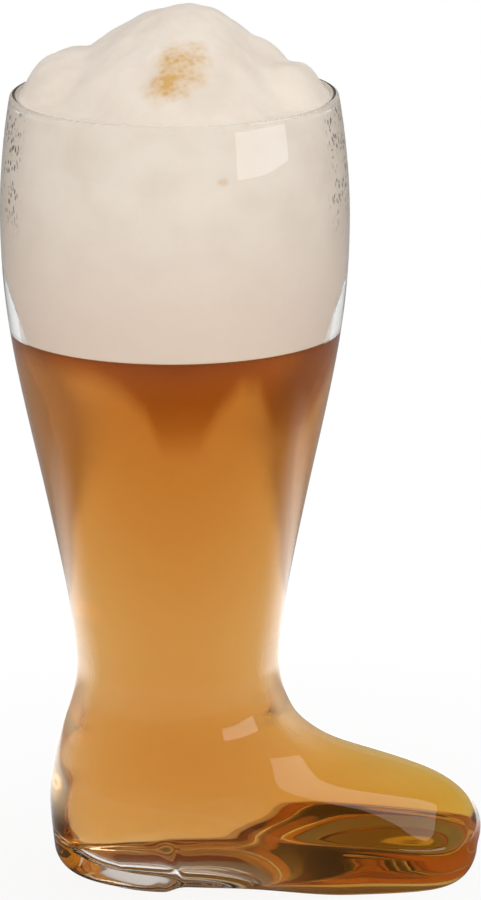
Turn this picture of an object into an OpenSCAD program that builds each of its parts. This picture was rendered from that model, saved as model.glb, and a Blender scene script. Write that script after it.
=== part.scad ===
// A boot-shaped drinking glass, blown in one piece, filled with beer under a head of foam.
// Origin: on the table, under the middle of the whole glass. +X points to the toe, +Z up. Millimetres.

/* [Leg] */
// Height from the table to the top of the rim
boot_height = 248; // [240:1:300]
// Outer diameter just under the rim
rim_d = 100; // [90:0.5:106]
// Largest outer diameter of the leg
calf_d = 107; // [100:0.5:120]
// Height of the leg's widest ring
calf_height = 211; // [195:1:220]
// Outer diameter of the ankle at its narrowest ring
ankle_d = 63; // [54:0.5:72]
// Height of the ankle's narrowest ring
ankle_height = 71; // [64:1:80]

/* [Foot] */
// Reach of the heel behind the leg's axis
heel_reach = 40; // [36:0.5:46]
// Height at which the heel reaches furthest back
heel_height = 25; // [20:0.5:30]
// Reach of the toe in front of the leg's axis
toe_reach = 94; // [80:0.5:115]
// Height at which the toe reaches furthest forward
toe_height = 15; // [12.5:0.5:18]
// Full width across the foot
foot_w = 84; // [76:0.5:92]
// Height at which the foot is widest
side_height = 18; // [15:0.5:22]
// Height of the rounding between the foot and its sole at the toe and the heel
edge_height = 11; // [9:0.5:12]
// Height of that rounding at the foot's sides
side_edge_height = 21; // [17:0.5:24]
// Inward reach of that rounding at the toe
toe_edge_reach = 8; // [6:0.5:10]
// Inward reach of that rounding at the heel
heel_edge_reach = 12; // [7:0.5:13]
// Inward reach of that rounding at the foot's sides
side_edge_reach = 18; // [12:0.5:20]
// Further height of that rounding along the heel's sides
heel_side_rise = 8; // [4:0.5:10]
// Further inward reach of that rounding along the heel's sides
heel_side_reach = 4; // [2:0.5:6]
// Distance from the leg's axis back to the front face of the heel
breast_back = 4; // [2:0.5:9]
// Distance from the leg's axis forward to where the ball of the foot rests
ball_start = 52; // [42:1:58]
// Lift of the arch off the table, in front of the heel
arch_lift = 2; // [1:0.25:4]

/* [Glass] */
// Wall thickness of the leg
leg_wall = 2.8; // [2:0.1:3.5]
// Wall thickness of the foot's sides and instep
foot_wall = 3.5; // [2.5:0.1:4.5]
// Thickness of the sole under the heel
heel_sole = 10; // [7:0.25:11]
// Thickness of the sole under the toes
toe_sole = 3.6; // [3:0.1:6]
// Distance from the leg's axis forward to where the sole starts to thin
sole_slope_start = 4; // [0:1:10]
// Distance from the leg's axis forward to where the sole is at its thinnest
sole_slope_end = 62; // [54:1:70]
// Height at which the hollow's wall starts to round over into its floor at the toe and the heel
hollow_edge_height = 22; // [17:0.5:25]
// Height at which it starts to round over at the foot's sides
hollow_side_edge_height = 36; // [28:0.5:38]

/* [Filling] */
// Height of the beer's surface, where the foam begins
beer_height = 175; // [130:1:190]
// Rise of the foam's broad lower mound over its edge
mound_rise = 13; // [8:0.5:20]
// Further rise of the foam's peak
peak_rise = 14.5; // [6:0.5:20]
// Depth of the foam's edge under the rim
foam_drop = 1; // [1:0.5:8]
// Gap left between the filling and the glass
filling_gap = 0.2; // [0.1:0.05:0.4]

/* [Hidden] */

// Points round each ring, an even number
ring_points = 64;
leg_rings = 14;
foot_rings = 20;
edge_rings = 6;
lip_rings = 5;
foam_wall_rings = 8;
foam_top_rings = 20;

rim_r = rim_d / 2;
calf_r = calf_d / 2;
ankle_r = ankle_d / 2;
lip_z = boot_height - leg_wall / 2;

// Leg outline: shares of the way from the ankle up to the calf, and out from its radius to the calf's
leg_shares = [[0.10, 0.055], [0.22, 0.195], [0.40, 0.435], [0.57, 0.675], [0.72, 0.86], [0.86, 0.968]];
// Mouth outline: shares of the way from the calf up to the rim, and in from its radius to the rim's
mouth_shares = [[0.30, 0.10], [0.60, 0.39], [0.85, 0.68]];
// Instep outline: shares of the way from the ankle down to the toe, and out to its reach
instep_shares = [[0.11, 0.008], [0.23, 0.035], [0.37, 0.10], [0.465, 0.195], [0.545, 0.32], [0.605, 0.475],
    [0.66, 0.65], [0.72, 0.80], [0.785, 0.89], [0.87, 0.96]];
// Heel outline: shares of the way from the ankle down to the heel, and out to its reach
heel_shares = [[0.15, 0.03], [0.30, 0.20], [0.50, 0.55], [0.75, 0.87]];
// Foot's flank: shares of the way from the ankle down to its widest height, and out to half its width
flank_shares = [[0.30, 0.12], [0.50, 0.38], [0.75, 0.78]];
// Shares by which the heel's outline, and those of the toe and the flanks, draw in again at the table
heel_tuck_share = 0.06;
toe_tuck_share = 0.06;

// Fullness of a section's oval at the toe and at the heel, where 2 is an ellipse, at shares of the way
// from the ankle to the table
toe_oval_shares = [[0, 2], [0.5, 2.05], [0.75, 2.35], [1, 2.7]];
heel_oval_shares = [[0, 2], [0.5, 2.02], [0.75, 2.06], [1, 2.1]];
// Share by which a section is wider towards the toe, at shares of the way from the ankle to the table
skew_shares = [[0, 0], [0.25, 0], [0.40, -0.07], [0.55, -0.20], [0.66, -0.14], [0.78, 0.02], [1, 0.1]];
// Share by which the foot narrows at its waist, at shares of the way from the ankle to the table
waist_shares = [[0, 0], [0.4, 0], [0.75, 0.06], [1, 0.13]];
// Where the waist lies and how far it runs, as shares of half the foot's length
waist_place_share = -0.18;
waist_run_share = 0.62;

// Length over which the sole steps up at the heel's front face
breast_run = 5;
// The arch comes down again over the last share of its length
arch_share = 0.6;
// Height at which the arch no longer lifts the side of the foot
arch_fade = 40;

// Foam: place of the peak, and its radius, as shares of the rim's radius
peak_place_share = [0.04, 0.04];
peak_radius_share = 0.6;
// Foam: low side mounds, each with its place, its radius and its rise, as shares of the rim's radius and the mound's rise
side_mound_shares = [[-0.62, 0.10, 0.30, -0.04], [0.50, 0.05, 0.30, 0.12], [0.84, 0.05, 0.28, -0.30],
    [-0.05, -0.62, 0.34, 0.10], [0.35, 0.60, 0.32, 0.12]];
// Foam: how flat the broad mound stays before it drops to its edge, where 2 is a parabola
mound_flatness = 8;
// Foam: radius of the last ring, which closes the top, as a share of the rim's radius
foam_tip_share = 0.012;

function mix(a, b, t) = a + (b - a) * t;
function clamp01(t) = min(1, max(0, t));
function ease(t) = let (u = clamp01(t)) u * u * (3 - 2 * u);
function signed_power(v, p) = sign(v) * pow(abs(v), p);

// Slope of the line through knots [[place, value], ...] at knot i
function slope(knots, i) =
    let (a = max(i - 1, 0), b = min(i + 1, len(knots) - 1))
    (knots[b][1] - knots[a][1]) / (knots[b][0] - knots[a][0]);

// Number of the last knot that lies at or under a place
function knot_under(knots, s, i = 0) =
    i < len(knots) - 2 && knots[i + 1][0] <= s ? knot_under(knots, s, i + 1) : i;

// Smooth line through knots with rising places, read at place s
function line_at(knots, s) =
    let (
        i = knot_under(knots, s),
        run = knots[i + 1][0] - knots[i][0],
        t = clamp01((s - knots[i][0]) / run),
        from = slope(knots, i) * run,
        to = slope(knots, i + 1) * run
    )
    knots[i][1] * (2 * t * t * t - 3 * t * t + 1) + from * (t * t * t - 2 * t * t + t)
        + knots[i + 1][1] * (3 * t * t - 2 * t * t * t) + to * (t * t * t - t * t);

// Shares between a low and a high end as knots, highest place last
function knots_down(shares, top, bottom, top_value, bottom_value) =
    [for (i = [len(shares) - 1:-1:0]) [mix(top, bottom, shares[i][0]), mix(top_value, bottom_value, shares[i][1])]];

leg_knots = concat(
    [[ankle_height, ankle_r]],
    [for (s = leg_shares) [mix(ankle_height, calf_height, s[0]), mix(ankle_r, calf_r, s[1])]],
    [[calf_height, calf_r]],
    [for (s = mouth_shares) [mix(calf_height, boot_height, s[0]), mix(calf_r, rim_r, s[1])]],
    [[boot_height, rim_r]]);
back_knots = concat(
    [[0, heel_reach * (1 - heel_tuck_share)], [heel_height, heel_reach]],
    knots_down(heel_shares, ankle_height, heel_height, ankle_r, heel_reach),
    leg_knots);
front_knots = concat(
    [[0, toe_reach * (1 - toe_tuck_share)], [toe_height, toe_reach]],
    knots_down(instep_shares, ankle_height, toe_height, ankle_r, toe_reach),
    leg_knots);
side_knots = concat(
    [[0, foot_w / 2 * (1 - toe_tuck_share)], [side_height, foot_w / 2]],
    knots_down(flank_shares, ankle_height, side_height, ankle_r, foot_w / 2),
    leg_knots);

// Lift of the sole at x: up at the heel's front face, down again to the ball of the foot
function arch_at(x) =
    let (span = ball_start + breast_back)
    arch_lift * ease((x + breast_back) / breast_run)
        * (1 - ease((x - ball_start + span * arch_share) / (span * arch_share)));

// Share of the waist's narrowing at place c, from -1 at the heel to 1 at the toe
function waist_at(c) = 1 - ease(abs(c - waist_place_share) / waist_run_share);

// One point of the outer section at height z, at angle a
function section_point(z, a) =
    let (
        down = clamp01((ankle_height - z) / ankle_height),
        back = line_at(back_knots, z),
        front = line_at(front_knots, z),
        oval = line_at(cos(a) > 0 ? toe_oval_shares : heel_oval_shares, down),
        c = signed_power(cos(a), 2 / oval),
        s = signed_power(sin(a), 2 / oval),
        x = (front - back) / 2 + (front + back) / 2 * c,
        narrowing = line_at(skew_shares, down) * c - line_at(waist_shares, down) * waist_at(c)
    )
    [x, line_at(side_knots, z) * s * (1 + narrowing), z + arch_at(x) * pow(1 - clamp01(z / arch_fade), 2)];

function angle_of(i) = 360 * i / ring_points;
function section(z) = [for (i = [0:ring_points - 1]) section_point(z, angle_of(i))];

// Share of the further rounding along the heel's sides, at angle a from the toe's direction
function heel_side_at(a) = pow(sin(a), 2) * ease((0.1 - cos(a)) / 0.8);

// Outer sections from the rim down through the ankle to a lowest ring, which lies at one height at the toe and
// the heel and at another at the foot's sides
function wall_rings(ends_z, sides_z) = concat(
    [for (k = [0:leg_rings - 1]) section(mix(lip_z, ankle_height, k / leg_rings))],
    [for (k = [0:foot_rings])
        [for (i = [0:ring_points - 1])
            let (a = angle_of(i), lowest = mix(ends_z, sides_z, pow(sin(a), 2)) + heel_side_rise * heel_side_at(a))
            section_point(mix(ankle_height, lowest, k / foot_rings), a)]]);

outer_rings = wall_rings(edge_height, side_edge_height);
guide_rings = wall_rings(hollow_edge_height, hollow_side_edge_height);

function neighbour(i, step) = (i + step + ring_points) % ring_points;
function unit(v) = v / norm(v);

// Outward normal of a stack of rings at ring k, point i
function normal_at(rings, k, i) =
    let (
        along = rings[k][neighbour(i, 1)] - rings[k][neighbour(i, -1)],
        down = rings[min(k + 1, len(rings) - 1)][i] - rings[max(k - 1, 0)][i]
    )
    unit(cross(down, along));

// Wall of the glass at height z
function wall_at(z) = mix(leg_wall, foot_wall, ease((ankle_height - z) / (ankle_height - edge_height)));

// Rings of the hollow's wall: the outer sections moved inwards by the wall and a further gap
function inner_rings(gap) = [for (k = [0:len(guide_rings) - 1])
    [for (i = [0:ring_points - 1])
        let (p = guide_rings[k][i])
        p - (wall_at(p[2]) + gap) * normal_at(guide_rings, k, i)]];

// Height of the hollow's floor at x, from the heel to the ball of the foot
function sole_at(x) =
    mix(heel_sole, toe_sole, ease((x - sole_slope_start) / (sole_slope_end - sole_slope_start)));

// Inward reach of the rounding between the foot and its sole, at angle a from the toe's direction
function edge_reach_at(a) =
    mix(heel_edge_reach, toe_edge_reach, (1 + cos(a)) / 2)
        + (side_edge_reach - (heel_edge_reach + toe_edge_reach) / 2) * pow(sin(a), 2)
        + heel_side_reach * heel_side_at(a);

// Rings that round a wall over into its floor: the arched underside, or the hollow's floor raised by a gap
function rounded_rings(ring, hollow, gap) =
    [for (k = [1:edge_rings]) let (turn = 90 * k / edge_rings)
        [for (i = [0:ring_points - 1])
            let (
                reach = edge_reach_at(angle_of(i)) - gap,
                tangent = ring[neighbour(i, 1)] - ring[neighbour(i, -1)],
                inwards = unit([-tangent[1], tangent[0], 0]),
                p = ring[i] + inwards * reach * (1 - cos(turn)),
                floor_z = hollow ? sole_at(p[0]) + gap : arch_at(p[0])
            )
            [p[0], p[1], mix(ring[i][2], floor_z, sin(turn))]]];

function last(list) = list[len(list) - 1];
function reversed(list) = [for (i = [len(list) - 1:-1:0]) list[i]];

outer_skin = concat(outer_rings, rounded_rings(last(outer_rings), false, 0));

// The hollow's rings, drawn in by a gap, from the rim down to the floor
function hollow(gap) =
    let (rings = inner_rings(gap))
    concat(rings, rounded_rings(last(rings), true, gap));

// Half-round lip that joins the hollow's top ring to the outer top ring
function lip(inner, outer) =
    [for (k = [1:lip_rings]) let (turn = 180 * k / (lip_rings + 1))
        [for (i = [0:ring_points - 1])
            let (mid = (inner[i] + outer[i]) / 2)
            mid + (inner[i] - mid) * cos(turn) + [0, 0, leg_wall / 2 * sin(turn)]]];

// The ring of a stack at height z, found between its rings
function ring_at(rings, z, k = 0) =
    k < len(rings) - 2 && rings[k + 1][0][2] > z ? ring_at(rings, z, k + 1) :
    let (t = (rings[k][0][2] - z) / (rings[k][0][2] - rings[k + 1][0][2]))
    [for (i = [0:ring_points - 1]) let (p = mix(rings[k][i], rings[k + 1][i], t)) [p[0], p[1], z]];

// Moves the leg's axis back, so that the origin lies under the middle of the whole glass
module placed() translate([(calf_r - toe_reach) / 2, 0, 0]) children();

// Closed skin over a stack of rings, each end closed across the foot's width
module skin(rings) {
    n = ring_points;
    last_ring = (len(rings) - 1) * n;
    sides = [for (k = [0:len(rings) - 2]) for (i = [0:n - 1])
        let (a = k * n + i, b = k * n + neighbour(i, 1), c = b + n, d = a + n)
        each [[a, b, c], [a, c, d]]];
    cap = [for (i = [0:n / 2 - 1])
        let (a = i, b = i + 1, c = n - i - 1, d = neighbour(n - i, 0))
        each [[a, d, c], [a, c, b]]];
    whole = [for (f = cap) if (f[0] != f[1] && f[1] != f[2] && f[0] != f[2]) f];
    far = [for (f = whole) [f[0] + last_ring, f[2] + last_ring, f[1] + last_ring]];
    polyhedron([for (ring = rings) each ring], concat(sides, whole, far));
}

module boot_glass() {
    inside = hollow(0);
    color([0.85, 0.9, 0.9, 0.4])
        placed() skin(concat(reversed(inside), lip(inside[0], outer_skin[0]), outer_skin));
}

module beer() {
    rings = hollow(filling_gap);
    top = ring_at(rings, beer_height);
    color("orange")
        placed() skin(concat([top], [for (ring = rings) if (ring[0][2] < beer_height - leg_wall) ring]));
}

// Rise of the foam at a place given as shares of the rim's radius
function bell(d) = pow(1 - pow(clamp01(d), 3), 2);
function foam_rise(p) =
    let (sides = [for (m = side_mound_shares) m[3] * bell(norm(p - [m[0], m[1]]) / m[2])])
    mound_rise * (1 - pow(clamp01(norm(p)), mound_flatness)) * (1 + [for (s = sides) 1] * sides)
        + peak_rise * bell(norm(p - peak_place_share) / peak_radius_share);

module foam_head() {
    rings = inner_rings(filling_gap);
    foam_edge = boot_height - foam_drop;
    wall = [for (k = [0:foam_wall_rings]) ring_at(rings, mix(beer_height, foam_edge, k / foam_wall_rings))];
    rim = last(wall);
    top = [for (k = [1:foam_top_rings]) let (share = mix(1, foam_tip_share, sin(90 * k / foam_top_rings)))
        [for (i = [0:ring_points - 1])
            let (p = [rim[i][0], rim[i][1]] * share, edge_share = norm(p) / norm([rim[i][0], rim[i][1]]))
            [p[0], p[1], foam_edge + foam_rise(unit(p) * edge_share)]]];
    color("ivory")
        placed() skin(reversed(concat(wall, top)));
}

boot_glass();
beer();
foam_head();
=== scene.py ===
"""A boot-shaped drinking glass, filled with beer under a head of foam, in a small white studio.

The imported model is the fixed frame. Each of its three solids is replaced by a finer piece of the same
shape: the blown glass, the beer in it and the foam on top. Metres, +Z up the leg, +X to the toe.
"""

from __future__ import annotations

import logging
import math
from bisect import bisect_right
from collections.abc import Callable, Iterable, Sequence
from dataclasses import dataclass, field
from enum import IntEnum
from functools import cached_property
from typing import Any, Union

import bmesh
import bpy
from mathutils import Matrix, Vector, noise

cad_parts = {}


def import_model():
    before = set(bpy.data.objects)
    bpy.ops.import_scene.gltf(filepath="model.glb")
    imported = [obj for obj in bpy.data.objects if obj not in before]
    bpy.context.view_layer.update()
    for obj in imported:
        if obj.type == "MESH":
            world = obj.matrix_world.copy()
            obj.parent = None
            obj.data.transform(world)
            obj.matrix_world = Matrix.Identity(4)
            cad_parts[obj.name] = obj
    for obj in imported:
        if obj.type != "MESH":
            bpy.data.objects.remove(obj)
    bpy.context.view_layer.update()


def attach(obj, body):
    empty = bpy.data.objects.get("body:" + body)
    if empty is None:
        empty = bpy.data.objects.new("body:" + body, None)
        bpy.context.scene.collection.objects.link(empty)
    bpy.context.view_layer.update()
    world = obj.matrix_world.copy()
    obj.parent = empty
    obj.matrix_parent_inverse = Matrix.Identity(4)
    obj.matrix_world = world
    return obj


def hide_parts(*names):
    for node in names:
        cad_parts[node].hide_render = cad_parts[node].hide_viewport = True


LOG = logging.getLogger("boot_glass")
BODY = "root"

Colour = tuple[float, float, float]
Triple = tuple[float, float, float]
Knot = tuple[float, float]
# Where a share starts to rise, and where it is whole.
Span = tuple[float, float]
# Scale and detail of a noise.
Grain = tuple[float, float]
Number = Union[float, "Link"]

WHITE: Colour = (1.0, 1.0, 1.0)


# Shader maths


@dataclass(frozen=True)
class Link:
    """A value that runs out of one node socket, with arithmetic that adds Math nodes."""

    shader: Shader
    socket: bpy.types.NodeSocket

    def _math(self, operation: str, *values: Number) -> Link:
        """Adds one Math node on these values."""
        return self.shader.add("ShaderNodeMath", {"operation": operation}, dict(enumerate(values)))

    def __add__(self, other: Number) -> Link:
        """Sum of two values."""
        return self._math("ADD", self, other)

    def __radd__(self, other: Number) -> Link:
        """Sum, with a plain number first."""
        return self._math("ADD", other, self)

    def __sub__(self, other: Number) -> Link:
        """Difference of two values."""
        return self._math("SUBTRACT", self, other)

    def __rsub__(self, other: Number) -> Link:
        """Difference, with a plain number first."""
        return self._math("SUBTRACT", other, self)

    def __mul__(self, other: Number) -> Link:
        """Product of two values."""
        return self._math("MULTIPLY", self, other)

    def __rmul__(self, other: Number) -> Link:
        """Product, with a plain number first."""
        return self._math("MULTIPLY", other, self)

    def __abs__(self) -> Link:
        """Size of a value without its sign."""
        return self._math("ABSOLUTE", self)

    def most(self, other: Number) -> Link:
        """The larger of two values."""
        return self._math("MAXIMUM", self, other)

    def ease(self, low: float, high: float) -> Link:
        """Rises smoothly from 0 where the value is low to 1 where it is high."""
        inputs = {"Value": self, "From Min": low, "From Max": high}
        return self.shader.add("ShaderNodeMapRange", {"interpolation_type": "SMOOTHSTEP"}, inputs)


class Shader:
    """The node tree of one material or of the world."""

    def __init__(self, owner: bpy.types.Material | bpy.types.World) -> None:
        """Empties the owner's node tree.

        Args:
            owner: The material or world that gets the nodes.
        """
        owner.use_nodes = True
        self.owner = owner
        self.tree = owner.node_tree
        self.tree.nodes.clear()

    def add(
        self,
        kind: str,
        settings: dict[str, Any] | None = None,
        inputs: dict[str | int, Any] | None = None,
        output: str | int = 0,
    ) -> Link:
        """Adds one node.

        Args:
            kind: The node's type.
            settings: The node's own settings, set first. "stops" are a colour ramp's places and colours.
            inputs: Values, colours or links, by the name or number of their sockets.
            output: The socket that the result runs from.

        Returns:
            The link out of the new node.
        """
        node = self.tree.nodes.new(kind)
        for name, value in (settings or {}).items():
            if name == "stops":
                self._set_stops(node.color_ramp, value)
            else:
                setattr(node, name, value)
        for name, value in (inputs or {}).items():
            socket = node.inputs[name]
            if isinstance(value, Link):
                self.tree.links.new(value.socket, socket)
            else:
                socket.default_value = (*value, 1.0) if socket.type == "RGBA" else value
        return Link(self, node.outputs[output])

    @staticmethod
    def _set_stops(ramp: bpy.types.ColorRamp, stops: Sequence[tuple[float, Colour]]) -> None:
        """Sets a colour ramp's stops.

        Args:
            ramp: The ramp, which starts with two stops.
            stops: The places, from 0 to 1, and their colours.
        """
        while len(ramp.elements) < len(stops):
            ramp.elements.new(1.0)
        for element, (place, colour) in zip(ramp.elements, stops):
            element.position = place
            element.color = (*colour, 1.0)

    def rays(self) -> tuple[Link, Link, Link]:
        """1 for rays straight from the camera, off a glossy surface, and through glass."""
        kinds = ("Camera", "Glossy", "Transmission")
        return tuple(self.add("ShaderNodeLightPath", output=f"Is {kind} Ray") for kind in kinds)

    @cached_property
    def place(self) -> Link:
        """The point on the piece, in metres."""
        return self.add("ShaderNodeTexCoord", output="Object")

    @cached_property
    def xyz(self) -> tuple[Link, Link, Link]:
        """The three parts of the point on the piece."""
        return self.parts(self.place)

    def slant(self) -> Link:
        """0 where one looks straight at the surface, and up to 1 where one looks along it."""
        return self.add("ShaderNodeLayerWeight", inputs={"Blend": 0.5}, output="Facing")

    def parts(self, vector: Link) -> tuple[Link, Link, Link]:
        """The three parts of a vector."""
        first = self.add("ShaderNodeSeparateXYZ", inputs={0: vector})
        return first, *(Link(self, output) for output in first.socket.node.outputs[1:])

    def angle(self, x: Link, y: Link) -> Link:
        """The turn from the x direction to a point, in radians."""
        return self.add("ShaderNodeMath", {"operation": "ARCTAN2"}, {0: y, 1: x})

    def moved(self, vector: Link, shift: Triple, stretch: Triple) -> Link:
        """A vector less a shift, then stretched along each axis."""
        centred = self.add("ShaderNodeVectorMath", {"operation": "SUBTRACT"}, {0: vector, 1: shift})
        return self.add("ShaderNodeVectorMath", {"operation": "MULTIPLY"}, {0: centred, 1: stretch})

    def length(self, vector: Link) -> Link:
        """Length of a vector."""
        return self.add("ShaderNodeVectorMath", {"operation": "LENGTH"}, {0: vector}, "Value")

    def noise(self, vector: Link, scale: float, detail: float) -> Link:
        """Soft noise from 0 to 1 with features of about 1 / scale metres."""
        inputs = {"Vector": vector, "Scale": scale, "Detail": detail}
        return self.add("ShaderNodeTexNoise", inputs=inputs)

    def cells(self, vector: Link, scale: float) -> Link:
        """Distance to the nearest of scattered points, in cells of about 1 / scale metres."""
        return self.add("ShaderNodeTexVoronoi", inputs={"Vector": vector, "Scale": scale})

    def tint(self, share: Number, low: Link | Colour, high: Link | Colour) -> Link:
        """Colour between two others, by the share of the second."""
        return self.add("ShaderNodeMix", {"data_type": "RGBA"}, {0: share, 6: low, 7: high}, 2)

    def bump(self, height: Link, distance: float, strength: float = 1.0) -> Link:
        """Normal of a surface that has this relief, with its distance in metres."""
        inputs = {"Height": height, "Distance": distance, "Strength": strength}
        return self.add("ShaderNodeBump", inputs=inputs)

    def either(self, share: Number, first: Link, second: Link) -> Link:
        """Mix of two shaders by the share of the second."""
        return self.add("ShaderNodeMixShader", inputs={0: share, 1: first, 2: second})

    def glass(self, colour: Link | Colour, refraction: float) -> Link:
        """Smooth clear glass or liquid."""
        inputs = {"Color": colour, "Roughness": 0.0, "IOR": refraction}
        return self.add("ShaderNodeBsdfGlass", inputs=inputs)

    def matt(self, colour: Link | Colour) -> Link:
        """Matt surface without any shine."""
        inputs = {"Base Color": colour, "Roughness": 1.0, "Specular IOR Level": 0.0}
        return self.add("ShaderNodeBsdfPrincipled", inputs=inputs)

    def straight_through(self, colour: Colour = WHITE) -> Link:
        """Lets light go straight on, tinted."""
        return self.add("ShaderNodeBsdfTransparent", inputs={"Color": colour})

    def lets_lamps_through(self, clear: Link, colour: Colour = WHITE) -> Link:
        """Lets lamp light and light off matt surfaces go straight through a clear shader.

        Args:
            clear: The glass or liquid shader.
            colour: What the light that goes through is tinted with.

        Returns:
            The shader that the surface shows.
        """
        through = self.straight_through(colour)
        for ray in ("Is Diffuse Ray", "Is Shadow Ray"):
            clear = self.either(self.add("ShaderNodeLightPath", output=ray), clear, through)
        return clear

    def finish(self, surface: Link, volume: Link | None = None) -> bpy.types.Material | bpy.types.World:
        """Connects the tree's output.

        Args:
            surface: What the surface shows.
            volume: What fills the inside, if anything.

        Returns:
            The material or world.
        """
        kind = "World" if isinstance(self.owner, bpy.types.World) else "Material"
        sockets = {"Surface": surface} if volume is None else {"Surface": surface, "Volume": volume}
        node = self.tree.nodes.new(f"ShaderNodeOutput{kind}")
        for name, link in sockets.items():
            self.tree.links.new(link.socket, node.inputs[name])
        return self.owner


# Finishes


@dataclass(frozen=True)
class ClearGlass:
    """Clear blown glass, with the faint waves that blowing into a mould leaves.

    Beside the foam its edges carry a painted shade, darker where one looks along them, with small dark
    bubbles.
    """

    colour: Colour = (0.995, 0.998, 0.995)
    refraction: float = 1.5
    wave_grain: Grain = (38.0, 1.0)
    wave_height: float = 0.00012
    smear: Colour = (0.985, 0.988, 0.985)
    smear_grain: Grain = (90.0, 3.0)
    smear_span: Span = (0.45, 0.80)
    foamed_above: Span = (0.190, 0.215)
    foamed_below: Span = (0.2478, 0.2462)
    # Painted shade on the glass's edges beside the foam.
    edge: Colour = (0.72, 0.66, 0.60)
    painted_shade_slant: Span = (0.35, 0.90)
    bubble: Colour = (0.012, 0.008, 0.006)
    bubble_slant: Span = (0.50, 0.62)
    bubble_stretch: Triple = (1.0, 1.0, 0.55)
    bubble_scale: float = 780.0
    bubble_size: Span = (0.50, 0.26)
    bubble_above: Span = (0.204, 0.222)
    cluster_grain: Grain = (170.0, 3.0)
    cluster_span: Span = (0.44, 0.53)

    def build(self) -> bpy.types.Material:
        """Makes the material.

        Returns:
            The material.
        """
        shader = Shader(bpy.data.materials.new("clear_glass"))
        waves = shader.noise(shader.place, *self.wave_grain)
        smears = shader.noise(shader.place, *self.smear_grain).ease(*self.smear_span)
        slant = shader.slant()
        height = shader.xyz[2]
        foamed = height.ease(*self.foamed_above) * height.ease(*self.foamed_below)
        colour = shader.tint(smears, self.colour, self.smear)
        # Painted shade: the edges beside the foam turn darker where one looks along them.
        colour = shader.tint(slant.ease(*self.painted_shade_slant) * foamed, colour, self.edge)
        upright = shader.moved(shader.place, (0.0, 0.0, 0.0), self.bubble_stretch)
        size = shader.cells(upright, self.bubble_scale).ease(*self.bubble_size)
        clusters = shader.noise(shader.place, *self.cluster_grain).ease(*self.cluster_span)
        bubbles = size * clusters * height.ease(*self.bubble_above) * slant.ease(*self.bubble_slant) * foamed
        colour = shader.tint(bubbles, colour, self.bubble)
        clear = shader.add(
            "ShaderNodeBsdfPrincipled",
            inputs={
                "Base Color": colour,
                "Roughness": 0.0,
                "IOR": self.refraction,
                "Transmission Weight": 1.0,
                "Normal": shader.bump(waves, self.wave_height),
            },
        )
        return shader.finish(shader.lets_lamps_through(clear, self.smear))


@dataclass(frozen=True)
class WettedGlass:
    """The hollow's skin where beer wets it: the beer's own skin bends the light there instead."""

    def build(self) -> bpy.types.Material:
        """Makes the material."""
        shader = Shader(bpy.data.materials.new("wetted_glass"))
        return shader.finish(shader.straight_through())


@dataclass(frozen=True)
class FoamedGlass:
    """The hollow's skin beside the foam: wet where foam clings to it, and dry above the beer.

    Where it is dry, the glass's own thickness shows at the edges as a clear strip, wider further down.
    """

    colour: Colour = (0.99, 0.99, 0.985)
    refraction: float = 1.5
    dry: Span = (0.200, 0.173)
    strip: float = 0.058
    edge: Span = (0.288, 0.296)
    wet_from: Span = (0.210, 0.203)

    def build(self) -> bpy.types.Material:
        """Makes the material.

        Returns:
            The material.
        """
        shader = Shader(bpy.data.materials.new("foamed_glass"))
        height = shader.xyz[2]
        widened = shader.slant() + height.ease(*self.dry) * self.strip
        dry = widened.ease(*self.edge) * height.ease(*self.wet_from)
        clear = shader.glass(self.colour, self.refraction)
        skin = shader.either(dry, shader.straight_through(), clear)
        return shader.finish(shader.lets_lamps_through(skin))


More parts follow.
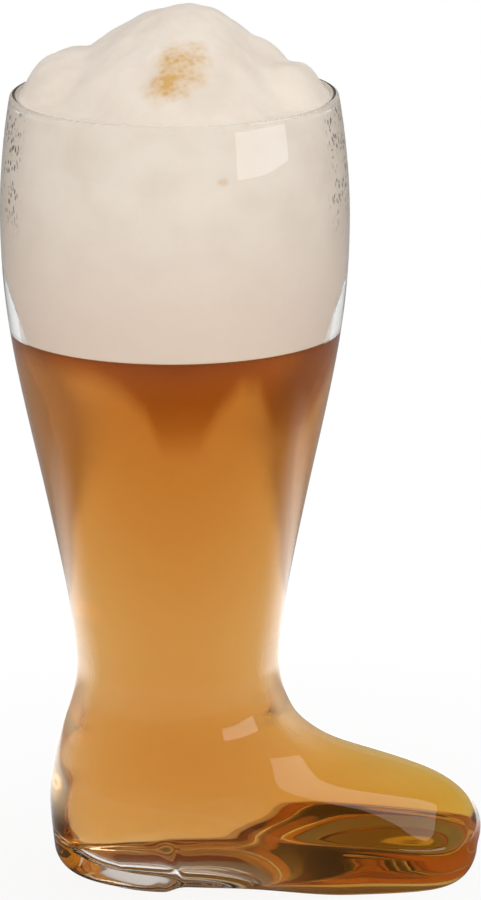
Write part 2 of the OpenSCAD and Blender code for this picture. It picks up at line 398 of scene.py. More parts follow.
@dataclass(frozen=True)
class AmberBeer:
    """Clear amber beer, darker the further one looks through it, with a little haze.

    Its index is the beer's own over the glass's, since the glass is what lies round it. Painted shade
    tints its glass darker over the toe and along the ball of the foot, and hangs in scallops under the
    foam. Painted light lies as a pale matt layer on the near skin at the ankle's bend and the heel.
    """

    surface: float
    axis_x: float
    refraction: float = 1.34 / 1.5
    density: float = 48.0
    colour: Colour = (0.848, 0.567, 0.027)
    haze: Colour = (0.80, 0.42, 0.06)
    haze_share: float = 0.05
    cloud: Colour = (0.72, 0.34, 0.04)
    cloud_grain: Grain = (22.0, 2.0)
    # Painted shade: the beer's glass is tinted darker over the toe and along the ball of the foot.
    toe_painted_shade: Colour = (1.0, 0.95, 0.68)
    toe_from: Span = (-0.005, 0.030)
    toe_under: Span = (0.075, 0.052)
    ball_painted_shade: Colour = (0.88, 0.78, 0.34)
    ball_from: Span = (0.010, 0.040)
    ball_under: Span = (0.034, 0.024)
    ball_over: Span = (0.005, 0.012)
    # Painted light: a pale matt layer on the near skin at the ankle's bend and the heel.
    bend_painted_light: Colour = (0.98, 0.64, 0.34)
    bend_share: float = 0.72
    bend_slant: Span = (0.17, 0.25)
    bend_over: Span = (0.038, 0.052)
    bend_under: Span = (0.088, 0.068)
    heel_over: Span = (0.018, 0.030)
    heel_behind: Span = (-0.046, -0.058)
    # Painted shade: the darker glass that hangs in scallops under the foam.
    shade: Colour = (0.60, 0.36, 0.05)
    painted_shade_edge: Span = (-0.004, 0.008)
    painted_shade_fade: Span = (0.040, 0.010)
    deepest: float = 0.032
    scallops: tuple[Knot, ...] = (
        (0.0, 0.55), (0.05, 0.45), (0.11, 0.10), (0.17, 0.45), (0.24, 0.12), (0.30, 0.08), (0.37, 0.24),
        (0.415, 0.20), (0.445, 0.34), (0.470, 0.58), (0.485, 0.95), (0.525, 0.95), (0.545, 0.58),
        (0.570, 0.30), (0.590, 0.38), (0.612, 0.80), (0.640, 0.98), (0.672, 0.85), (0.71, 0.45),
        (0.77, 0.12), (0.84, 0.50), (0.90, 0.12), (0.96, 0.45), (1.0, 0.55),
    )  # fmt: skip

    def build(self) -> bpy.types.Material:
        """Makes the material.

        Returns:
            The material.
        """
        shader = Shader(bpy.data.materials.new("amber_beer"))
        x, _, z = shader.xyz
        # Painted shade over the toe and along the ball of the foot.
        toe = x.ease(*self.toe_from) * z.ease(*self.toe_under)
        ball = x.ease(*self.ball_from) * z.ease(*self.ball_under) * z.ease(*self.ball_over)
        foot = shader.tint(ball, shader.tint(toe, WHITE, self.toe_painted_shade), self.ball_painted_shade)
        # Painted shade: darker glass in the skin, hung in scallops under the foam.
        clear, painted_shade_glass = (shader.glass(tint, self.refraction) for tint in (foot, self.shade))
        clear = shader.either(self.painted_shade(shader), clear, painted_shade_glass)
        cloud = shader.noise(shader.place, *self.cloud_grain)
        haze = shader.matt(shader.tint(cloud, self.haze, self.cloud))
        clear = shader.either(self.haze_share, clear, haze)
        # Painted light: a pale matt layer where one looks along the near skin at the ankle's bend and the
        # heel.
        clear = shader.either(self.bend(shader) * self.bend_share, clear, shader.matt(self.bend_painted_light))
        inputs = {"Color": self.colour, "Density": self.density}
        absorbs = shader.add("ShaderNodeVolumeAbsorption", inputs=inputs)
        return shader.finish(shader.lets_lamps_through(clear), absorbs)

    def bend(self, shader: Shader) -> Link:
        """Finds the near skin at the ankle's bend and the heel, where one looks along it.

        Args:
            shader: The beer's shader.

        Returns:
            Share of the painted light's pale layer.
        """
        x, _, z = shader.xyz
        near = 1.0 - shader.add("ShaderNodeNewGeometry", output="Backfacing")
        heel = z.ease(*self.heel_over) * x.ease(*self.heel_behind)
        low_and_high = z.ease(*self.bend_over).most(heel) * z.ease(*self.bend_under)
        return low_and_high * shader.slant().ease(*self.bend_slant) * near

    def painted_shade(self, shader: Shader) -> Link:
        """Hangs a painted shade in scallops under the foam, where the beer's skin turns darker.

        Args:
            shader: The beer's shader.

        Returns:
            Share of the painted shade.
        """
        x, y, z = shader.xyz
        turns = shader.angle(y * -1.0, x - self.axis_x) * (1 / math.tau) + 0.5
        depths = [(turn, (depth, depth, depth)) for turn, depth in self.scallops]
        reach = shader.add("ShaderNodeValToRGB", {"stops": depths}, {0: turns})
        under = self.surface - z
        hang = shader.parts(reach)[0] * self.deepest - under
        return hang.ease(*self.painted_shade_edge) * under.ease(*self.painted_shade_fade)


@dataclass(frozen=True)
class FoamStain:
    """One soft spot where beer has seeped up into the foam, in metres, and how deep its tint is."""

    middle: Triple
    reach: Triple
    depth: float


@dataclass(frozen=True)
class BeerFoam:
    """Dense cream foam of fine bubbles, with stains where beer has seeped up at its peak."""

    cream: Colour = (0.84, 0.75, 0.65)
    shade: Colour = (0.78, 0.68, 0.58)
    mottle_grain: Grain = (70.0, 4.0)
    mottle_span: Span = (0.35, 0.75)
    low: Colour = (0.76, 0.61, 0.50)
    low_span: Span = (0.240, 0.172)
    fine_scale: float = 900.0
    coarse_scale: float = 330.0
    coarse_share: float = 0.6
    relief_depth: float = 0.0003
    relief_strength: float = 0.35
    stain: Colour = (0.67, 0.41, 0.15)
    stains: tuple[FoamStain, ...] = (
        FoamStain((-0.0172, -0.031, 0.2640), (0.0095, 0.015, 0.0095), 0.95),
        FoamStain((-0.0240, -0.038, 0.2590), (0.0085, 0.013, 0.0070), 0.85),
        FoamStain((-0.00595, -0.0469, 0.2307), (0.0020, 0.004, 0.0016), 0.40),
    )
    stain_edge: Span = (1.25, 0.1)
    warp_grain: Grain = (160.0, 3.0)
    warp_reach: float = 1.2
    spot_scale: float = 520.0
    spot_span: Span = (0.75, 0.15)
    plain_share: float = 0.8
    spot_share: float = 0.5

    def build(self) -> bpy.types.Material:
        """Makes the material.

        Returns:
            The material.
        """
        shader = Shader(bpy.data.materials.new("beer_foam"))
        mottle = shader.noise(shader.place, *self.mottle_grain).ease(*self.mottle_span)
        fine = shader.cells(shader.place, self.fine_scale)
        coarse = shader.cells(shader.place, self.coarse_scale)
        relief = coarse * self.coarse_share + fine * (1 - self.coarse_share)
        depth = shader.xyz[2].ease(*self.low_span)
        colour = shader.tint(depth, shader.tint(mottle, self.cream, self.shade), self.low)
        colour = shader.tint(self.staining(shader), colour, self.stain)
        foam = shader.add(
            "ShaderNodeBsdfPrincipled",
            inputs={
                "Base Color": colour,
                "Roughness": 0.85,
                "IOR": 1.33,
                "Subsurface Weight": 0.25,
                "Subsurface Radius": (1.0, 0.8, 0.6),
                "Subsurface Scale": 0.004,
                "Normal": shader.bump(relief, self.relief_depth, self.relief_strength),
            },
        )
        return shader.finish(foam)

    def staining(self, shader: Shader) -> Link:
        """Lays the stains, with ragged edges and denser spots.

        Args:
            shader: The foam's shader.

        Returns:
            Share of the stain's tint.
        """
        warp = shader.noise(shader.place, *self.warp_grain)
        spots = shader.cells(shader.place, self.spot_scale).ease(*self.spot_span)
        share: Number = 0.0
        for stain in self.stains:
            stretch = tuple(1 / reach for reach in stain.reach)
            away = shader.length(shader.moved(shader.place, stain.middle, stretch))
            soft = (away + (warp - 0.5) * self.warp_reach).ease(*self.stain_edge)
            share = soft * stain.depth * (self.plain_share + spots * self.spot_share) + share
        return share


@dataclass(frozen=True)
class PaleFloor:
    """Plain pale floor that goes over into white away from the glass and keeps its shadow.

    Shiny surfaces show it dark in front of the glass, bright close behind it and dim further away.
    """

    colour: Colour = (0.86, 0.86, 0.86)
    white_span: Span = (0.04, 0.30)
    near_share: float = 0.86
    dusk: Colour = (0.60, 0.54, 0.52)
    dusk_from: Span = (1.6, 2.4)
    gloss_front: float = 0.05
    gloss_behind: float = 1.65
    gloss_far: float = 0.30
    gloss_from: Span = (-0.01, 0.16)
    gloss_until: Span = (0.25, 0.36)

    def build(self) -> bpy.types.Material:
        """Makes the material.

        Returns:
            The material.
        """
        shader = Shader(bpy.data.materials.new("pale_floor"))
        away = shader.length(shader.place)
        straight, glossy, through = shader.rays()
        matt = shader.add("ShaderNodeBsdfDiffuse", inputs={"Color": self.colour})
        dusky = shader.tint(away.ease(*self.dusk_from) * through, WHITE, self.dusk)
        white = shader.add("ShaderNodeEmission", inputs={"Color": dusky, "Strength": 1.0})
        seen = (self.near_share + (1.0 - self.near_share) * away.ease(*self.white_span)) * straight
        surface = shader.either(seen.most(through), matt, white)
        gloss = shader.xyz[1].ease(*self.gloss_from) * (self.gloss_behind - self.gloss_front)
        far = away.ease(*self.gloss_until)
        gloss = (gloss + self.gloss_front) * (1.0 - far) + far * self.gloss_far
        mirrored = shader.add("ShaderNodeEmission", inputs={"Color": WHITE, "Strength": gloss})
        return shader.finish(shader.either(glossy * (1.0 - through), surface, mirrored))


# Shape of the boot


class Outline:
    """A smooth line through knots with rising places."""

    def __init__(self, knots: Iterable[Knot]) -> None:
        """Keeps the knots and the slope at each.

        Args:
            knots: The places and the values there.
        """
        self.places, self.values = map(list, zip(*knots))
        last = len(self.places) - 1
        ends = [(max(i - 1, 0), min(i + 1, last)) for i in range(last + 1)]
        self.slopes = [
            (self.values[b] - self.values[a]) / (self.places[b] - self.places[a]) for a, b in ends
        ]

    def at(self, place: float) -> float:
        """Reads the line, which stays level beyond either end.

        Args:
            place: Where it is read.

        Returns:
            The value there.
        """
        i = min(max(bisect_right(self.places, place) - 1, 0), len(self.places) - 2)
        run = self.places[i + 1] - self.places[i]
        t = min(1.0, max(0.0, (place - self.places[i]) / run))
        rise = t * t * (3 - 2 * t)
        return (
            self.values[i] * (1 - rise)
            + self.values[i + 1] * rise
            + self.slopes[i] * run * (t**3 - 2 * t * t + t)
            + self.slopes[i + 1] * run * (t**3 - t * t)
        )


def mix(low: float, high: float, share: float) -> float:
    """Value between two others."""
    return low + (high - low) * share


def ease(share: float) -> float:
    """Rises smoothly from 0 to 1."""
    t = min(1.0, max(0.0, share))
    return t * t * (3 - 2 * t)


def between(shares: Sequence[Knot], start: Knot, end: Knot) -> list[Knot]:
    """Knots between two others, each given as shares of the way up or down and of the way across."""
    return [(mix(start[0], end[0], along), mix(start[1], end[1], across)) for along, across in shares]


@dataclass(frozen=True)
class BootShape:
    """The form that the glass is blown to, as the model gives it, in metres from the leg's axis."""

    height: float = 0.248
    rim_radius: float = 0.050
    calf_radius: float = 0.0535
    calf_height: float = 0.211
    ankle_radius: float = 0.0315
    ankle_height: float = 0.071
    heel_reach: float = 0.040
    heel_height: float = 0.025
    toe_reach: float = 0.094
    toe_height: float = 0.015
    foot_half: float = 0.042
    foot_half_height: float = 0.018
    tuck: float = 0.06
    waist_middle: float = -0.18
    waist_half: float = 0.62
    edge_height: float = 0.011
    side_edge_height: float = 0.021
    side_edge_reach: float = 0.008
    toe_edge_reach: float = 0.008
    heel_edge_reach: float = 0.012
    heel_side_start: float = 0.1
    heel_side_run: float = 0.8
    heel_side_rise: float = 0.008
    heel_side_reach: float = 0.004
    breast_back: float = 0.004
    breast_run: float = 0.005
    ball_start: float = 0.052
    arch_lift: float = 0.002
    arch_share: float = 0.6
    arch_fade: float = 0.040
    leg_wall: float = 0.0028
    foot_wall: float = 0.0035
    heel_sole: float = 0.0100
    toe_sole: float = 0.0036
    sole_run: Span = (0.004, 0.062)
    hollow_edge_height: float = 0.022
    hollow_side_rise: float = 0.014
    fill_height: float = 0.175
    fill_level: float = 0.1742
    points: int = 128
    mouth_rings: int = 8
    leg_rings: int = 11
    foot_rings: int = 26
    edge_rings: int = 8
    cap_rings: int = 9
    cap_heel: float = 0.016
    cap_toe: float = 0.024

    @property
    def axis_x(self) -> float:
        """Where the leg's axis stands, so that the origin is under the middle of the glass."""
        return (self.calf_radius - self.toe_reach) / 2

    @property
    def lip_z(self) -> float:
        """Height of the middle of the rim's rounding."""
        return self.height - self.leg_wall / 2

    @cached_property
    def angles(self) -> list[float]:
        """The turns of a section's points from the toe's direction."""
        return [math.tau * i / self.points for i in range(self.points)]

    @cached_property
    def leg_knots(self) -> list[Knot]:
        """Outline of the leg from the ankle to the rim.

        Returns:
            Heights and radii.
        """
        ankle, calf = (self.ankle_height, self.ankle_radius), (self.calf_height, self.calf_radius)
        rim = (self.height, self.rim_radius)
        leg = ((0.10, 0.055), (0.22, 0.195), (0.40, 0.435), (0.57, 0.675), (0.72, 0.86), (0.86, 0.968))
        mouth = ((0.30, 0.10), (0.60, 0.39), (0.85, 0.68))
        return [ankle, *between(leg, ankle, calf), calf, *between(mouth, calf, rim), rim]

    def foot_line(self, low: Knot, shares: Sequence[Knot]) -> Outline:
        """Outline from the table over one widest point of the foot up to the rim."""
        ground = (0.0, low[1] * (1 - self.tuck))
        return Outline([ground, low, *reversed(between(shares, self.leg_knots[0], low)), *self.leg_knots])

    @cached_property
    def back(self) -> Outline:
        """Reach behind the axis by height."""
        heel = ((0.15, 0.03), (0.30, 0.20), (0.50, 0.55), (0.75, 0.87))
        return self.foot_line((self.heel_height, self.heel_reach), heel)

    @cached_property
    def front(self) -> Outline:
        """Reach in front of the axis by height."""
        instep = (
            (0.11, 0.008), (0.23, 0.035), (0.37, 0.10), (0.465, 0.195), (0.545, 0.32), (0.605, 0.475),
            (0.66, 0.65), (0.72, 0.80), (0.785, 0.89), (0.87, 0.96),
        )  # fmt: skip
        return self.foot_line((self.toe_height, self.toe_reach), instep)

    @cached_property
    def side(self) -> Outline:
        """Half width by height."""
        flank = ((0.30, 0.12), (0.50, 0.38), (0.75, 0.78))
        return self.foot_line((self.foot_half_height, self.foot_half), flank)

    @cached_property
    def ovals(self) -> tuple[Outline, Outline, Outline, Outline]:
        """Fullness at the toe and the heel, widening to the toe, and waist, by share of the way down."""
        return (
            Outline(((0, 2), (0.5, 2.05), (0.75, 2.35), (1, 2.7))),
            Outline(((0, 2), (0.5, 2.02), (0.75, 2.06), (1, 2.1))),
            Outline(((0, 0), (0.25, 0), (0.40, -0.07), (0.55, -0.20), (0.66, -0.14), (0.78, 0.02), (1, 0.1))),
            Outline(((0, 0), (0.4, 0), (0.75, 0.06), (1, 0.13))),
        )

    def arch(self, x: float) -> float:
        """Lifts the sole at the heel's front face and lets it down to the ball of the foot.

        Args:
            x: Place along the foot.

        Returns:
            The lift.
        """
        run = (self.ball_start + self.breast_back) * self.arch_share
        down = ease((x - self.ball_start + run) / run)
        return self.arch_lift * ease((x + self.breast_back) / self.breast_run) * (1 - down)

    def sole(self, x: float) -> float:
        """Height of the hollow's floor at x."""
        start, end = self.sole_run
        return mix(self.heel_sole, self.toe_sole, ease((x - start) / (end - start)))

    def wall(self, z: float) -> float:
        """Thickness of the glass at a height."""
        share = (self.ankle_height - z) / (self.ankle_height - self.edge_height)
        return mix(self.leg_wall, self.foot_wall, ease(share))

    def spot(self, z: float, angle: float) -> Vector:
        """Finds one point of the outer section at a height.

        Args:
            z: The height, before the arch lifts it.
            angle: The turn from the toe's direction.

        Returns:
            The point.
        """
        down = min(1.0, max(0.0, (self.ankle_height - z) / self.ankle_height))
        toe_oval, heel_oval, widening, waist = self.ovals
        oval = (toe_oval if math.cos(angle) > 0 else heel_oval).at(down)
        c, s = (math.copysign(abs(t) ** (2 / oval), t) for t in (math.cos(angle), math.sin(angle)))
        front, back = self.front.at(z), self.back.at(z)
        x = (front - back) / 2 + (front + back) / 2 * c
        waisted = 1 - ease(abs(c - self.waist_middle) / self.waist_half)
        narrowing = widening.at(down) * c - waist.at(down) * waisted
        lift = self.arch(x) * (1 - min(1.0, max(0.0, z / self.arch_fade))) ** 2
        return Vector((x, self.side.at(z) * s * (1 + narrowing), z + lift))

    def heel_side(self, angle: float) -> float:
        """Share of the rounder lower edge along the heel's sides."""
        return math.sin(angle) ** 2 * ease((self.heel_side_start - math.cos(angle)) / self.heel_side_run)

    def wall_rings(self, lowest: float, sides: float) -> list[list[Vector]]:
        """The outer sections from the rim down to the start of a rounding.

        Args:
            lowest: Where the rounding starts at the toe and the heel.
            sides: How much higher it starts at the foot's sides.

        Returns:
            The rings, the highest first.
        """
        mouth = [mix(self.lip_z, self.fill_level, k / self.mouth_rings) for k in range(self.mouth_rings)]
        leg = [mix(self.fill_level, self.ankle_height, k / self.leg_rings) for k in range(self.leg_rings)]
        rings = [[self.spot(z, angle) for angle in self.angles] for z in mouth + leg]
        ends = [
            lowest + sides * math.sin(a) ** 2 + self.heel_side_rise * self.heel_side(a) for a in self.angles
        ]
        for k in range(self.foot_rings + 1):
            share = k / self.foot_rings
            rings.append([self.spot(mix(self.ankle_height, z, share), a) for z, a in zip(ends, self.angles)])
        return rings

    def rounded(
        self, ring: Sequence[Vector], inset: float, floor: Callable[[float], float]
    ) -> list[list[Vector]]:
        """Rings that round a wall over into its floor.

        Args:
            ring: The wall's lowest ring.
            inset: How far the rounding's reach is cut short.
            floor: The floor's height at x.

        Returns:
            The rings, the highest first.
        """
        rings = []
        for k in range(1, self.edge_rings + 1):
            turn = math.pi / 2 * k / self.edge_rings
            level = []
            for i, (p, angle) in enumerate(zip(ring, self.angles)):
                toe_share = (1 + math.cos(angle)) / 2
                reach = mix(self.heel_edge_reach, self.toe_edge_reach, toe_share) - inset
                reach += self.side_edge_reach * math.sin(angle) ** 2
                reach += self.heel_side_reach * self.heel_side(angle)
                along = ring[(i + 1) % self.points] - ring[i - 1]
                q = p + Vector((-along.y, along.x, 0)).normalized() * reach * (1 - math.cos(turn))
                q.z = mix(p.z, floor(q.x), math.sin(turn))
                level.append(q)
            rings.append(level)
        return rings

    def capped(self, ring: Sequence[Vector], floor: Callable[[float], float]) -> list[list[Vector]]:
        """Rings that close a floor from its edge in to a line along the foot's middle.

        Args:
            ring: The floor's edge.
            floor: The floor's height at x.

        Returns:
            The rings, the outermost first.
        """
        heel, toe = min(p.x for p in ring), max(p.x for p in ring)
        start, end = heel + self.cap_heel, toe - self.cap_toe
        rings = []
        for k in range(1, self.cap_rings + 1):
            share = k / self.cap_rings
            level = []
            for p in ring:
                x = mix(p.x, min(end, max(start, p.x)), share)
                level.append(Vector((x, p.y * (1 - share), floor(x))))
            rings.append(level)
        return rings

    @cached_property
    def outer_rings(self) -> list[list[Vector]]:
        """The outer skin's rings from the rim to the sole's edge."""
        rings = self.wall_rings(self.edge_height, self.side_edge_height - self.edge_height)
        return rings + self.rounded(rings[-1], 0.0, self.arch)

    def inner_rings(self, gap: float) -> list[list[Vector]]:
        """The hollow's rings from the rim to its floor's edge.

        Args:
            gap: How far they are drawn in from the glass.

        Returns:
            The rings, the highest first.
        """
        guide = self.wall_rings(self.hollow_edge_height, self.hollow_side_rise)
        rings = []
        for k in range(len(guide)):
            above, below = guide[max(k - 1, 0)], guide[min(k + 1, len(guide) - 1)]
            level = []
            for i, p in enumerate(guide[k]):
                along = guide[k][(i + 1) % self.points] - guide[k][i - 1]
                out = (below[i] - above[i]).cross(along).normalized()
                level.append(p - out * (self.wall(p.z) + gap))
            rings.append(level)
        return rings + self.rounded(rings[-1], gap, lambda x: self.sole(x) + gap)


def ring_at(rings: Sequence[Sequence[Vector]], z: float) -> list[Vector]:
    """Finds the ring of a stack at a height between its rings.

    Args:
        rings: The stack, the highest first.
        z: The height.

    Returns:
        The ring.
    """
    k = next(k for k in range(len(rings) - 1) if rings[k + 1][0].z <= z or k == len(rings) - 2)
    share = (rings[k][0].z - z) / (rings[k][0].z - rings[k + 1][0].z)
    return [Vector((*a.lerp(b, share).xy, z)) for a, b in zip(rings[k], rings[k + 1])]


# Pieces


class Coat(IntEnum):
    """The glass's finishes, in the order that its faces number them."""

    CLEAR = 0
    WETTED = 1
    FOAMED = 2


class Skin:
    """A closed skin that grows ring by ring out of one circle."""

    MERGED: float = 1e-7
    SMOOTHED: int = 1

    def __init__(self, shift: Vector) -> None:
        """Starts with no ring.

        Args:
            shift: How far the finished skin is moved.
        """
        self.mesh = bmesh.new()
        self.shift = shift
        self.ring: list[bmesh.types.BMVert] = []

    def grow(self, spots: Sequence[Vector], coat: Coat = Coat.CLEAR) -> None:
        """Adds one ring, joined to the last one.

        Args:
            spots: Where the ring's points go.
            coat: The finish on the faces that join it to the last ring.
        """
        if self.ring:
            count = len(self.ring)
            edges = [self.mesh.edges.get((v, self.ring[(i + 1) % count])) for i, v in enumerate(self.ring)]
            made = bmesh.ops.extrude_edge_only(self.mesh, edges=edges)
            fresh = {g for g in made["geom"] if isinstance(g, bmesh.types.BMVert)}
            for face in (g for g in made["geom"] if isinstance(g, bmesh.types.BMFace)):
                face.material_index = coat
            ends = [[edge.other_vert(vert) for edge in vert.link_edges] for vert in self.ring]
            self.ring = [next(end for end in found if end in fresh) for found in ends]
        else:
            made = bmesh.ops.create_circle(self.mesh, segments=len(spots), radius=1.0)
            self.ring = made["verts"]
        for vert, spot in zip(self.ring, spots):
            vert.co = spot + self.shift

    def finish(
        self, name: str, materials: Sequence[bpy.types.Material], slot: str, node: str
    ) -> bpy.types.Object:
        """Closes the skin, smooths it and makes it a piece in the frame.

        Args:
            name: The piece's name.
            materials: Its finishes, in the order of its faces' numbers.
            slot: Not used.
            node: The model's solid that it stands for.

        Returns:
            The piece, at the origin.
        """
        bmesh.ops.remove_doubles(self.mesh, verts=self.mesh.verts, dist=self.MERGED)
        bmesh.ops.recalc_face_normals(self.mesh, faces=self.mesh.faces)
        data = bpy.data.meshes.new(name)
        for face in self.mesh.faces:
            face.smooth = True
        self.mesh.to_mesh(data)
        self.mesh.free()
        piece = bpy.data.objects.new(name, data)
        bpy.context.scene.collection.objects.link(piece)
        smooth = piece.modifiers.new("smooth", "SUBSURF")
        smooth.levels = smooth.render_levels = self.SMOOTHED
        for material in materials:
            data.materials.append(material)
        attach(piece, BODY)
        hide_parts(node)
        LOG.info("%s: %d points before smoothing", name, len(data.vertices))
        return piece


@dataclass
class BootGlass:
    """The blown glass: one skin over its outside, its rounded lip and its hollow."""

    shape: BootShape
    lip_rings: int = 6
    wetted_over: float = 0.0005

    def build(self) -> bpy.types.Object:
        """Makes the glass.

        Returns:
            The glass, dressed.
        """
        shape = self.shape
        inner, outer = shape.inner_rings(0.0), shape.outer_rings
        floor = shape.capped(inner[-1], shape.sole)
        wetted = shape.fill_height + self.wetted_over
        skin = Skin(Vector((shape.axis_x, 0, 0)))
        for ring in [*reversed(floor), *reversed(inner)]:
            skin.grow(ring, Coat.WETTED if ring[0].z < wetted else Coat.FOAMED)
        for ring in [*self.lip(inner[0], outer[0]), *outer, *shape.capped(outer[-1], shape.arch)]:
            skin.grow(ring)
        finishes = {Coat.CLEAR: ClearGlass(), Coat.WETTED: WettedGlass(), Coat.FOAMED: FoamedGlass()}
        materials = [finishes[coat].build() for coat in Coat]
        return skin.finish("blown_glass", materials, "clear_glass", "boot_glass")

    def lip(self, inner: Sequence[Vector], outer: Sequence[Vector]) -> list[list[Vector]]:
        """Rounds the lip over from the hollow to the outside.

        Args:
            inner: The hollow's top ring.
            outer: The outside's top ring.

        Returns:
            The rings between them.
        """
        rings = []
        for k in range(1, self.lip_rings + 1):
            turn = math.pi * k / (self.lip_rings + 1)
            lift = Vector((0, 0, self.shape.leg_wall / 2 * math.sin(turn)))
            rings.append([(a + b) / 2 + (a - b) / 2 * math.cos(turn) + lift for a, b in zip(inner, outer)])
        return rings


@dataclass
class Beer:
    """The beer, which fills the hollow up to the foam."""

    shape: BootShape
    clearance: float = 0.0001
    edge_depth: float = 0.0004
    wall_start: float = 0.002
    top_shares: tuple[float, ...] = (0.0, 0.15, 0.4, 0.65, 0.85, 0.96, 0.995)

    def build(self) -> bpy.types.Object:
        """Makes the beer.

        Returns:
            The beer, dressed.
        """
        shape = self.shape
        surface = shape.fill_height
        rings = shape.inner_rings(self.clearance)
        edge = ring_at(rings, surface)
        under = ring_at(rings, surface - self.edge_depth)
        skin = Skin(Vector((shape.axis_x, 0, 0)))
        for share in self.top_shares:
            skin.grow([Vector((p.x * share, p.y * share, surface)) for p in edge])
        for ring in [edge, under, *(r for r in rings if r[0].z < surface - self.wall_start)]:
            skin.grow(ring)
        for ring in shape.capped(rings[-1], lambda x: shape.sole(x) + self.clearance):
            skin.grow(ring)
        material = AmberBeer(surface, shape.axis_x).build()
        return skin.finish("amber_beer", [material], "amber_beer", "beer")


@dataclass(frozen=True)
class Lump:
    """One soft lump of foam: its middle, its reach to the heel, to the toe and across, and its height."""

    x: float
    y: float
    heelward: float
    toeward: float
    across: float
    rise: float
    fullness: float

    def at(self, x: float, y: float) -> float:
        """The lump's height over the foam's edge at a point, in metres."""
        along = (x - self.x) / (self.toeward if x > self.x else self.heelward)
        return self.rise * (1 - min(1.0, math.hypot(along, (y - self.y) / self.across)) ** self.fullness)


@dataclass
class FoamHead:
    """The foam: it fills the glass over the beer and stands over the rim in soft lumps.

    Its ripples are given by their fineness, their height and the layer of noise that they read.
    """

    shape: BootShape
    bottom: float = 0.1748
    edge: float = 0.2470
    clearance: float = 0.0001
    wall_rings: int = 26
    top_rings: int = 44
    bottom_shares: tuple[float, ...] = (0.0, 0.3, 0.6, 0.85, 0.96, 0.995)
    seam: float = 0.0007
    lump_fullness: int = 16
    ripple_fullness: int = 6
    lumps: tuple[Lump, ...] = (
        Lump(0.0035, 0.006, 0.0430, 0.0375, 0.052, 0.0277, 1.57),
        Lump(-0.0300, 0.009, 0.0205, 0.024, 0.026, 0.0120, 3.6),
        Lump(-0.0120, 0.026, 0.022, 0.026, 0.018, 0.0150, 2.2),
        Lump(0.0235, 0.006, 0.022, 0.0165, 0.022, 0.0172, 2.2),
        Lump(0.0335, -0.004, 0.018, 0.0160, 0.020, 0.0112, 3.0),
    )
    ripples: tuple[Triple, ...] = ((75, 0.0013, 0.02), (190, 0.0007, 0.05))

    def rise(self, x: float, y: float, share: float) -> float:
        """Height of the foam over its edge.

        Args:
            x: Place along the foot, from the leg's axis.
            y: Place across it.
            share: Share of the way from the axis to the wall.

        Returns:
            The rise in metres.
        """
        heights = [lump.at(x, y) for lump in self.lumps]
        joined = self.seam * math.log(sum(math.exp(h / self.seam) for h in heights) - len(heights) + 1)
        rough = (noise.noise(Vector((x, y, layer)) * fine) * high for fine, high, layer in self.ripples)
        return joined * (1 - share**self.lump_fullness) + sum(rough) * (1 - share**self.ripple_fullness)

    def build(self) -> bpy.types.Object:
        """Makes the foam.

        Returns:
            The foam, dressed.
        """
        rings = self.shape.inner_rings(self.clearance)
        foot, rim = ring_at(rings, self.bottom), ring_at(rings, self.edge)
        skin = Skin(Vector((self.shape.axis_x, 0, 0)))
        for share in self.bottom_shares:
            skin.grow([Vector((p.x * share, p.y * share, p.z)) for p in foot])
        for k in range(self.wall_rings + 1):
            skin.grow(ring_at(rings, mix(self.bottom, self.edge, k / self.wall_rings)))
        for k in range(1, self.top_rings + 1):
            share = math.cos(math.pi / 2 * k / self.top_rings)
            spots = [(p.x * share, p.y * share) for p in rim]
            skin.grow([Vector((x, y, self.edge + self.rise(x, y, share))) for x, y in spots])
        return skin.finish("foam_head_crest", [BeerFoam().build()], "beer_foam", "foam_head")


# Studio


@dataclass(frozen=True)
class Softbox:
    """One soft rectangular lamp that faces the glass.

    Its bearing is in degrees round from straight behind the camera towards the toe.
    """

    name: str
    bearing: float
    distance: float
    height: float
    size: tuple[float, float]
    radiance: float
    lights: bool = True
    shows: bool = True
    aim: Vector = field(default_factory=lambda: Vector((0, 0, 0.15)))

    def build(self) -> None:
        """Makes the lamp, which may only light matt surfaces or only show in shiny ones."""
        light = bpy.data.lights.new(self.name, "AREA")
        light.shape = "RECTANGLE"
        light.size, light.size_y = self.size
        light.energy = self.radiance * math.pi * self.size[0] * self.size[1]
        turn = math.radians(self.bearing)
        spot = Vector((math.sin(turn) * self.distance, -math.cos(turn) * self.distance, self.height))
        lamp = bpy.data.objects.new(self.name, light)
        lamp.location = spot
        lamp.rotation_euler = (self.aim - spot).to_track_quat("-Z", "Y").to_euler()
        lamp.visible_diffuse = self.lights
        lamp.visible_glossy = lamp.visible_transmission = self.shows
        bpy.context.scene.collection.objects.link(lamp)


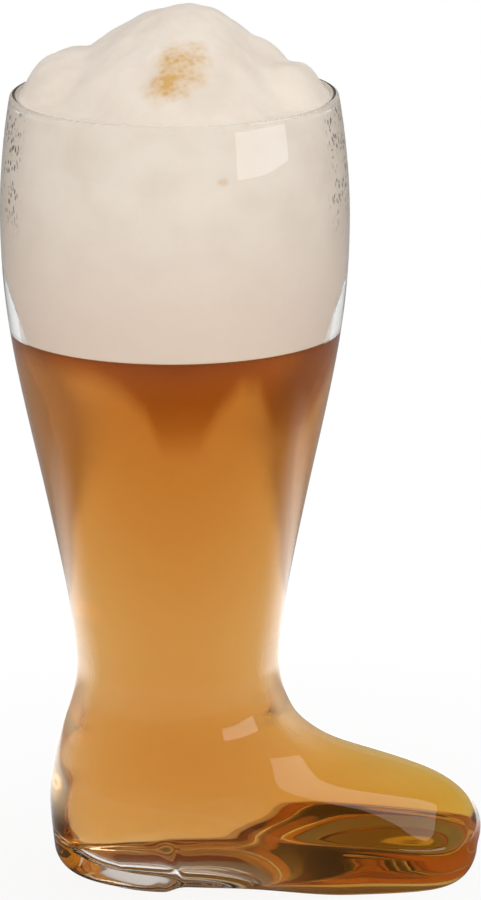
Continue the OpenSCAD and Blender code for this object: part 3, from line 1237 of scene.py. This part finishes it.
@dataclass
class Studio:
    """Floor, room light, lamps and camera.

    The room's sides and front are bearings in degrees from its far side. Its bands are heights of looking.
    """

    floor_half: float = 4.0
    floor_drop: float = 0.0002
    ambient: float = 0.58
    low_left: Colour = (0.74, 0.70, 0.70)
    low_right: Colour = (0.50, 0.46, 0.45)
    low_span: Span = (-0.4, 0.4)
    high: Colour = (0.20, 0.17, 0.14)
    high_from: Span = (0.17, 0.235)
    glare: Colour = (0.70, 0.66, 0.62)
    glare_from: Span = (0.29, 0.33)
    glare_until: Span = (0.40, 0.46)
    sides: Colour = (0.95, 0.88, 0.80)
    sides_from: Span = (52.0, 70.0)
    behind: Colour = (0.30, 0.27, 0.25)
    front: Colour = (0.03, 0.03, 0.03)
    front_from: Span = (75.0, 115.0)
    softboxes: tuple[Softbox, ...] = (
        Softbox("window_right", 61.0, 1.3, 0.285, (0.95, 0.21), 2.35, lights=False),
        Softbox("window_high", 99.0, 0.86, 1.22, (0.82, 0.62), 1.6, lights=False),
        Softbox("front", -8.0, 1.8, 1.1, (1.2, 0.9), 4.3, shows=False),
        Softbox("right", 72.0, 1.6, 0.6, (0.9, 0.9), 1.1, shows=False),
        Softbox("overhead", 150.0, 0.3, 1.5, (1.0, 0.8), 1.2, shows=False),
    )
    target: Vector = field(default_factory=lambda: Vector((-0.00054, 0, 0.1358)))
    elevation: float = 14.28
    distance: float = 2.425
    lens: float = 315.4
    sensor: float = 36.0
    roll: float = -0.25

    def build(self) -> None:
        """Sets up the studio."""
        self.lay_floor()
        self.light_room()
        for softbox in self.softboxes:
            softbox.build()
        self.place_camera()

    def lay_floor(self) -> None:
        """Lays the floor under the glass."""
        mesh = bmesh.new()
        bmesh.ops.create_grid(mesh, x_segments=1, y_segments=1, size=self.floor_half)
        data = bpy.data.meshes.new("floor")
        mesh.to_mesh(data)
        mesh.free()
        data.materials.append(PaleFloor().build())
        data.transform(Matrix.Translation((0, 0, -self.floor_drop)))
        floor = bpy.data.objects.new("floor", data)
        bpy.context.scene.collection.objects.link(floor)

    def light_room(self) -> None:
        """Lights the room: white to the camera, an even glow on matt surfaces, banded in glass."""
        world = bpy.data.worlds.new("room")
        bpy.context.scene.world = world
        shader = Shader(world)
        straight, glossy, through = shader.rays()
        x, y, z = shader.parts(shader.add("ShaderNodeTexCoord", output="Generated"))
        bearing = abs(shader.angle(y, x) * math.degrees(1))
        low = shader.tint(x.ease(*self.low_span), self.low_left, self.low_right)
        room = shader.tint(z.ease(*self.high_from), low, self.high)
        band = z.ease(*self.glare_from) * (1.0 - z.ease(*self.glare_until))
        room = shader.tint(band, room, self.glare)
        room = shader.tint(bearing.ease(*self.sides_from), room, self.sides)
        back = shader.tint(z.ease(*self.high_from), self.behind, self.high)
        mirrored = shader.tint(bearing.ease(*self.front_from), back, self.front)
        glow = (self.ambient, self.ambient, self.ambient)
        colour = shader.tint(through, shader.tint(glossy, glow, mirrored), room)
        colour = shader.tint(straight, colour, WHITE)
        shader.finish(shader.add("ShaderNodeBackground", inputs={"Color": colour, "Strength": 1.0}))

    def place_camera(self) -> None:
        """Puts the camera at the picture's angle."""
        up = math.radians(self.elevation)
        eye = self.target + self.distance * Vector((0, -math.cos(up), math.sin(up)))
        data = bpy.data.cameras.new("camera")
        data.lens = self.lens
        data.sensor_width = self.sensor
        camera = bpy.data.objects.new("camera", data)
        turn = (self.target - eye).to_track_quat("-Z", "Y").to_matrix()
        turn = turn @ Matrix.Rotation(math.radians(self.roll), 3, "Z")
        camera.matrix_world = Matrix.Translation(eye) @ turn.to_4x4()
        bpy.context.scene.collection.objects.link(camera)
        bpy.context.scene.camera = camera
        bpy.context.scene.view_settings.view_transform = "Standard"


def main() -> None:
    """Builds the glass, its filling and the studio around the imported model."""
    logging.basicConfig(level=logging.INFO, format="%(name)s: %(message)s")
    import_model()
    shape = BootShape()
    for part in (BootGlass(shape), Beer(shape), FoamHead(shape)):
        part.build()
    Studio().build()


if __name__ == "__main__":
    main()
